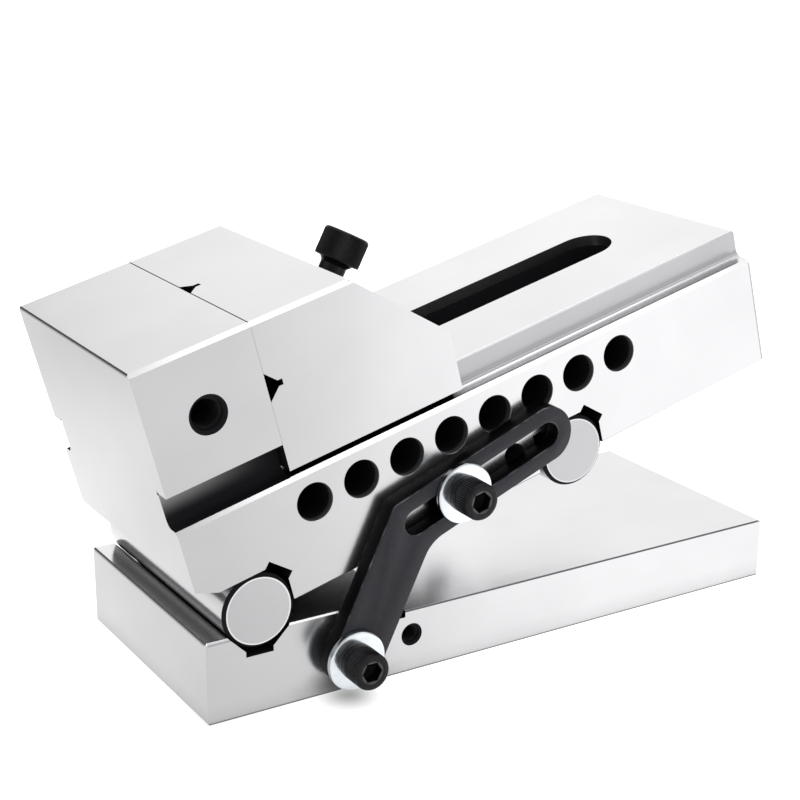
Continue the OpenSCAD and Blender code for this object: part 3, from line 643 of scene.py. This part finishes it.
oxide_dark = (0.006, 0.006, 0.007, 1)
oxide_light = (0.02, 0.02, 0.022, 1)
oxide = black_oxide("black_oxide", oxide_dark, oxide_light, 0.24, 0.38, 0.2)
# Painted highlight: a lighter ring on the rim round each hex socket.
socket_rim_highlight = black_oxide("socket_rim_highlight", (0.03, 0.03, 0.033, 1), (0.08, 0.08, 0.085, 1), 0.3, 0.45)
# Painted shade: the inside of each hex socket is painted darker than the oxide.
socket_shade = black_oxide("socket_shade", (0.003, 0.003, 0.004, 1), (0.008, 0.008, 0.009, 1),
                           0.45, 0.6, 0.1)
screw_oxide_highlight_shade = (oxide, socket_rim_highlight, socket_shade)
dress("hinge_roller_screws", oxide)
dress("sine_roller_screws", oxide)

# Clamp screw, ball washer and cross bar nut
# An M8 socket screw with a straight knurl round its head presses the movable jaw down through a
# ball washer. Its thread ends in a round ended bar that hooks into a pair of cross holes.


def stand_on(origin, axis, across):
    """Carries a piece made along +Z to its place: +Z goes along the axis and +X across it."""
    along = Vector(axis).normalized()
    side = Vector(across).normalized()
    turn = Matrix((side, along.cross(side), along)).transposed().to_4x4()
    return Matrix.Translation(origin) @ turn


def turned(profile, steps, closed=False):
    """A solid turned about +Z from a profile of radius and height in millimetres."""
    bm = bmesh.new()
    verts = [bm.verts.new((radius * mm, 0, height * mm)) for radius, height in profile]
    ends = verts[1:] + verts[:1] if closed else verts[1:]
    for first, second in zip(verts, ends):
        bm.edges.new((first, second))
    bmesh.ops.spin(bm, geom=bm.verts[:] + bm.edges[:], cent=(0, 0, 0), axis=(0, 0, 1), dvec=(0, 0, 0),
                   angle=math.tau, steps=steps, use_merge=True, use_duplicate=False)
    bmesh.ops.remove_doubles(bm, verts=bm.verts[:], dist=0.000001)
    return bm


def run_of(radius, low, high, spacing):
    """Profile points up a straight wall, close enough together to carry a thread."""
    count = max(1, round((high - low) / spacing))
    return [(radius, low + (high - low) * index / count) for index in range(count + 1)]


def knurl(bm, radius, low, high, depth, steps):
    """Sinks every second line of the skin between two heights, which leaves a straight knurl."""
    sunk = [vert for vert in bm.verts if low * mm <= vert.co.z <= high * mm
            and abs(math.hypot(vert.co.x, vert.co.y) - radius * mm) < 0.01 * mm
            and round(math.atan2(vert.co.y, vert.co.x) / math.tau * steps) % 2]
    bmesh.ops.scale(bm, vec=(1 - depth / radius, 1 - depth / radius, 1), verts=sunk)


def thread(bm, radius, low, high, pitch, depth):
    """Moves the skin between two heights in or out along a helix; a negative depth moves it out."""
    for vert in bm.verts:
        height = vert.co.z / mm
        if abs(math.hypot(vert.co.x, vert.co.y) - radius * mm) < 0.01 * mm and low <= height <= high:
            turn = (height / pitch - math.atan2(vert.co.y, vert.co.x) / math.tau) % 1
            share = 1 - depth / radius * (1 - abs(2 * turn - 1))
            vert.co.x *= share
            vert.co.y *= share


def hex_socket(bm, flats, rim_height, depth):
    """Turns the open rim at the top into a hexagon and sinks it, with a drilled cone at its bottom."""
    rim = [edge for edge in bm.edges if edge.is_boundary and edge.verts[0].co.z > (rim_height - 0.01) * mm]
    for vert in {vert for edge in rim for vert in edge.verts}:
        angle = math.atan2(vert.co.y, vert.co.x)
        reach = flats / 2 * mm / math.cos((angle + math.tau) % (math.tau / 6) - math.tau / 12)
        vert.co.x = reach * math.cos(angle)
        vert.co.y = reach * math.sin(angle)
    wall = bmesh.ops.extrude_edge_only(bm, edges=rim)["geom"]
    wall_foot = [vert for vert in wall if isinstance(vert, bmesh.types.BMVert)]
    bmesh.ops.translate(bm, vec=(0, 0, -depth * mm), verts=wall_foot)
    floor = [edge for edge in wall if isinstance(edge, bmesh.types.BMEdge) and edge.is_boundary]
    cone = bmesh.ops.extrude_edge_only(bm, edges=floor)["geom"]
    tip = [vert for vert in cone if isinstance(vert, bmesh.types.BMVert)]
    bmesh.ops.translate(bm, vec=(0, 0, -flats * 0.25 * mm), verts=tip)
    bmesh.ops.pointmerge(bm, verts=tip, merge_co=Vector((0, 0, tip[0].co.z)))


def make_piece(bm, name, materials, body, slot, where, *nodes):
    """Carries a finished mesh to its place, smooths its round faces and lets it stand for its nodes."""
    bmesh.ops.recalc_face_normals(bm, faces=bm.faces[:])
    bmesh.ops.transform(bm, matrix=where, verts=bm.verts[:])
    for face in bm.faces:
        face.smooth = True
    for edge in bm.edges:
        edge.smooth = edge.calc_face_angle(0) < math.radians(32)
    mesh = bpy.data.meshes.new(name)
    bm.to_mesh(mesh)
    bm.free()
    for material in materials:
        mesh.materials.append(material)
    piece = bpy.data.objects.new(name, mesh)
    bpy.context.scene.collection.objects.link(piece)
    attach(piece, body)
    if nodes:
        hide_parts(*nodes)
    return piece


def socket_screw(length, radius, pitch, head_radius, head_height, flats, socket_depth, steps, shank=None):
    """A socket head cap screw: zero is under its head, and +Z goes out of the head."""
    corner = flats / 2 / math.cos(math.pi / 6)
    rim = 0.25
    foot_edge = 0.2
    round_edge = 0.12 * head_radius
    if shank is None:
        shank = run_of(radius, pitch / 2 - length, -0.5 * pitch, pitch / 6)
    bm = turned(
        [(0, -length), (radius - pitch / 2, -length)] + shank
        + [(radius, 0), (head_radius - foot_edge, 0), (head_radius, foot_edge), (head_radius, 0.4),
           (head_radius, 0.45), (head_radius, head_height - round_edge - 0.05),
           (head_radius, head_height - round_edge),
           (head_radius - 0.3 * round_edge, head_height - 0.35 * round_edge),
           (head_radius - round_edge, head_height), (corner + rim, head_height),
           (corner, head_height - rim)],
        steps)
    thread(bm, radius, pitch / 2 - length, -0.6 * pitch, pitch, 0.55 * pitch)
    knurl(bm, head_radius, 0.42, head_height - round_edge - 0.02, 0.035 * head_radius, steps)
    hex_socket(bm, flats, head_height - rim, socket_depth - rim)
    # The rim round the socket takes the painted highlight and the socket's inside the painted shade.
    for face in bm.faces:
        spot = face.calc_center_median() / mm
        if spot.z > head_height - 0.24 and math.hypot(spot.x, spot.y) < corner + 0.24:
            face.material_index = 1
        elif spot.z > 0.5 and math.hypot(spot.x, spot.y) < corner + 0.1:
            face.material_index = 2
    return bm


clamp_pivot = Vector(joints["clamp_screw_turn"]["pos_m"])
clamp_axis = Vector(joints["clamp_screw_turn"]["axis"])
clamp_lift = 4.4
clamp_place = stand_on(clamp_pivot + clamp_axis * clamp_lift * mm, clamp_axis, (0, 1, 0))
clamp_length = 68
clamp_radius = 4
clamp_pitch = 1.25
clamp_shank = (run_of(clamp_radius, 0.7 - clamp_length, -5.0, clamp_pitch / 6)
               + [(clamp_radius, -1.2), (4.15, -0.6), (4.6, -0.15), (5.2, 0)])
clamp_screw = socket_screw(clamp_length, clamp_radius, clamp_pitch, 6.3, 8, 6, 4, 120, clamp_shank)
make_piece(clamp_screw, "knurled_clamp_screw", screw_oxide_highlight_shade, "screw", "black_oxide", clamp_place,
           "clamp_screw")
dress("ball_washer", oxide)
dress("cross_bar_nut", oxide)

# Link arm
# A bent steel strap with a long slot, sawn and filed, its edges broken, with a satin black finish.
arm_finish = black_oxide("arm_finish", (0.012, 0.012, 0.015, 1), (0.026, 0.027, 0.034, 1), 0.4, 0.55)
arm_tree = arm_finish.node_tree
arm_shader = arm_tree.nodes["Principled BSDF"]
arm_colour = arm_shader.inputs["Base Color"].links[0].from_socket
arm_facing = add_node(arm_tree, "ShaderNodeSeparateXYZ")
arm_tree.links.new(add_node(arm_tree, "ShaderNodeTexCoord").outputs["Normal"], arm_facing.inputs[0])
arm_front = maths(arm_tree, "ABSOLUTE", arm_facing.outputs["Y"])
arm_broken = maths(arm_tree, "MULTIPLY", maths(arm_tree, "GREATER_THAN", arm_front, 0.2),
                   maths(arm_tree, "LESS_THAN", arm_front, 0.97))
# The broken edges turn lighter grey in patches.
arm_patch_noise = feed(arm_tree, add_node(arm_tree, "ShaderNodeTexNoise"), Scale=0.3, Detail=3.0,
                Vector=piece_point(arm_tree, (0, 0, 0)))
arm_edge_patches = feed(arm_tree, add_node(arm_tree, "ShaderNodeMapRange"), Value=arm_patch_noise.outputs["Fac"],
                From_Min=0.45, From_Max=0.7)
arm_colour = mix_colour(arm_tree, maths(arm_tree, "MULTIPLY", arm_broken, arm_edge_patches.outputs["Result"]),
                        arm_colour, (0.13, 0.13, 0.14, 1))
# Painted dark reflection: the sides of the strap, across its thickness, are painted nearly black.
arm_side_dark_reflection = maths(arm_tree, "LESS_THAN", arm_front, 0.2)
feed(arm_tree, arm_shader, Base_Color=mix_colour(arm_tree, arm_side_dark_reflection, arm_colour, (0.004, 0.004, 0.005, 1)),
     Specular_IOR_Level=mix_value(arm_tree, arm_side_dark_reflection, 0.5, 0.12))
arm_bm = bmesh.new()
arm_bm.from_mesh(frame["nodes"]["link_arm"].data)
bmesh.ops.remove_doubles(arm_bm, verts=arm_bm.verts[:], dist=0.000001)
bmesh.ops.dissolve_limit(arm_bm, angle_limit=math.radians(0.5), use_dissolve_boundaries=False,
                         verts=arm_bm.verts[:], edges=arm_bm.edges[:], delimit=set())
arm_edges = [edge for edge in arm_bm.edges if edge.calc_face_angle(0) > math.radians(60)
             and abs((edge.verts[0].co - edge.verts[1].co).y) < 0.00001]
bmesh.ops.bevel(arm_bm, geom=arm_edges, offset=0.3 * mm, offset_type="OFFSET", segments=2, profile=0.5,
                affect="EDGES", clamp_overlap=False, material=-1)
make_piece(arm_bm, "slotted_link_arm", [arm_finish], "arm", "blackened_steel", Matrix(), "link_arm")

# Arm screws
# Two M6 socket screws clamp the arm: one is its pivot in the base, the other grips its slot. The
# upper one has a waist where the slot passes it, because the linkage is opened there.
out_of_side = Vector((0, -1, 0))
screw_length = 20
screw_radius = 3
screw_pitch = 1
screw_head = 6


def head_face(node_name, joint_name):
    """The point on a screw's axis under its head."""
    centre = Vector(joints[joint_name]["pos_m"])
    centre.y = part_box(node_name)[0].y + screw_head * mm
    return centre


lower_place = stand_on(head_face("lower_arm_screw", "lower_arm_screw_turn"), out_of_side, (1, 0, 0))
upper_place = stand_on(head_face("upper_arm_screw", "upper_arm_screw_turn"), out_of_side, slide_axis)
lower_screw = socket_screw(screw_length, screw_radius, screw_pitch, 5, screw_head, 5, 3, 96)
make_piece(lower_screw, "lower_socket_screw", screw_oxide_highlight_shade, "lower_fastener", "black_oxide", lower_place,
           "lower_arm_screw")
waist_radius = 0.75
waist_high = -3.1
waist_low = -8.2
waisted = (run_of(screw_radius, 0.5 - screw_length, waist_low, screw_pitch / 6)
           + [(waist_radius, waist_low), (waist_radius, waist_high)]
           + run_of(screw_radius, waist_high, -0.5, screw_pitch / 6))
upper_screw = socket_screw(screw_length, screw_radius, screw_pitch, 5, screw_head, 5, 3, 96, waisted)
make_piece(upper_screw, "upper_socket_screw", screw_oxide_highlight_shade, "upper_fastener", "black_oxide", upper_place,
           "upper_arm_screw")

# Lock washers
# A split ring of square black wire under each head, closed flat by the tightened screw.
lock_section = [(3.2, 0.15), (3.35, 0), (4.85, 0), (5.0, 0.15), (5.0, 1.35), (4.85, 1.5), (3.35, 1.5),
                (3.2, 1.35)]
lock_height = 1.5
lock_middle = 4.1
lock_gap = 2 * math.asin(0.5 / lock_middle)
for place, name, body, node_name in (
        (lower_place, "lower_split_washer", "lower_fastener", "lower_lock_washer"),
        (upper_place, "upper_split_washer", "upper_fastener", "upper_lock_washer")):
    bm = bmesh.new()
    loop = [bm.verts.new((radius * mm, 0, height * mm)) for radius, height in lock_section]
    face = bm.faces.new(loop)
    bmesh.ops.rotate(bm, cent=(0, 0, 0), matrix=Matrix.Rotation(lock_gap / 2, 3, "Z"), verts=bm.verts[:])
    bmesh.ops.spin(bm, geom=[face], cent=(0, 0, 0), axis=(0, 0, 1), dvec=(0, 0, 0),
                   angle=math.tau - lock_gap, steps=72, use_merge=False, use_duplicate=False)
    bmesh.ops.contextual_create(bm, geom=[vert for vert in bm.verts if vert.is_boundary])
    seat = place @ Matrix.Translation((0, 0, -lock_height * mm))
    make_piece(bm, name, [oxide], body, "black_oxide", seat, node_name)

# Flat washers
# Stamped washers under the lock washers, zinc plated, with one edge rounded by the punch.
zinc_dull = (0.62, 0.66, 0.7, 1)
zinc_bright = (0.82, 0.86, 0.88, 1)
washer_height = 1.6
zinc, zinc_tree, zinc_shader = new_material("zinc_plate")
zinc_point = piece_point(zinc_tree, (0, 0, 0))
zinc_cloud = feed(zinc_tree, add_node(zinc_tree, "ShaderNodeTexNoise"), Vector=zinc_point, Scale=0.5,
                  Detail=4.0)
feed(zinc_tree, zinc_shader, Metallic=1.0,
     Base_Color=mix_colour(zinc_tree, zinc_cloud.outputs["Fac"], zinc_dull, zinc_bright),
     Roughness=mix_value(zinc_tree, zinc_cloud.outputs["Fac"], 0.1, 0.22))
washer_section = [(3.2, 0.15), (3.35, 0), (8.05, 0), (8.2, 0.15), (8.2, 1.05), (8.12, 1.35), (7.92, 1.53),
                  (7.65, washer_height), (3.45, washer_height), (3.2, 1.35)]
for place, name, body, node_name in (
        (lower_place, "lower_flat_washer", "lower_fastener", "lower_arm_washer"),
        (upper_place, "upper_flat_washer", "upper_fastener", "upper_arm_washer")):
    seat = place @ Matrix.Translation((0, 0, -(lock_height + washer_height) * mm))
    make_piece(turned(washer_section, 96, closed=True), name, [zinc], body, "zinc_plate", seat, node_name)

# Threads of the free tapped holes
# The work stop's hole and the arm's two spare holes are tapped, so a thread runs along their walls.
# Each thread is a thin sleeve that stands in the wall of its hole.
hole_black = black_oxide("hole_black", oxide_dark, oxide_light, 0.5, 0.7, 0.15)


def tapped_sleeve(name, body, centre, radius, pitch, depth, across):
    """A sleeve with an inner thread; it starts one pitch below the side the hole is drilled from."""
    skin = radius + 0.04
    inner = run_of(radius - 0.05, pitch, depth, pitch / 6)
    bm = turned([(skin, depth), (skin, pitch)] + inner, 48, closed=True)
    thread(bm, radius - 0.05, 1.3 * pitch, depth - 0.2, pitch, 0.5 * pitch)
    where = stand_on(centre, (0, 1, 0), across)
    make_piece(bm, name, [hole_black], body, "black_oxide", where)


near_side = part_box("base_plate")[0].y
for mount in frame["record"]["mounts"]:
    if mount["name"] == "work_stop_hole":
        centre = Vector(mount["pos_m"])
        centre.y = near_side
        tapped_sleeve("work_stop_thread", "vise", centre, 4.25, 1.5, 17, slide_axis)
    if mount["name"] == "spare_base_hole":
        centre = Vector(mount["pos_m"])
        centre.y = near_side
        tapped_sleeve("spare_base_thread", "base", centre, 2.5, 1.0, 13, (1, 0, 0))
rise_axis = slide_axis.cross(Vector((0, 1, 0)))
spare_along, _, spare_up = tapped_holes[2][0]
spare_centre = hinge_place + (slide_axis * spare_along + rise_axis * spare_up) * mm
spare_centre.y = near_side
tapped_sleeve("spare_body_thread", "vise", spare_centre, 2.5, 1.0, 13, slide_axis)
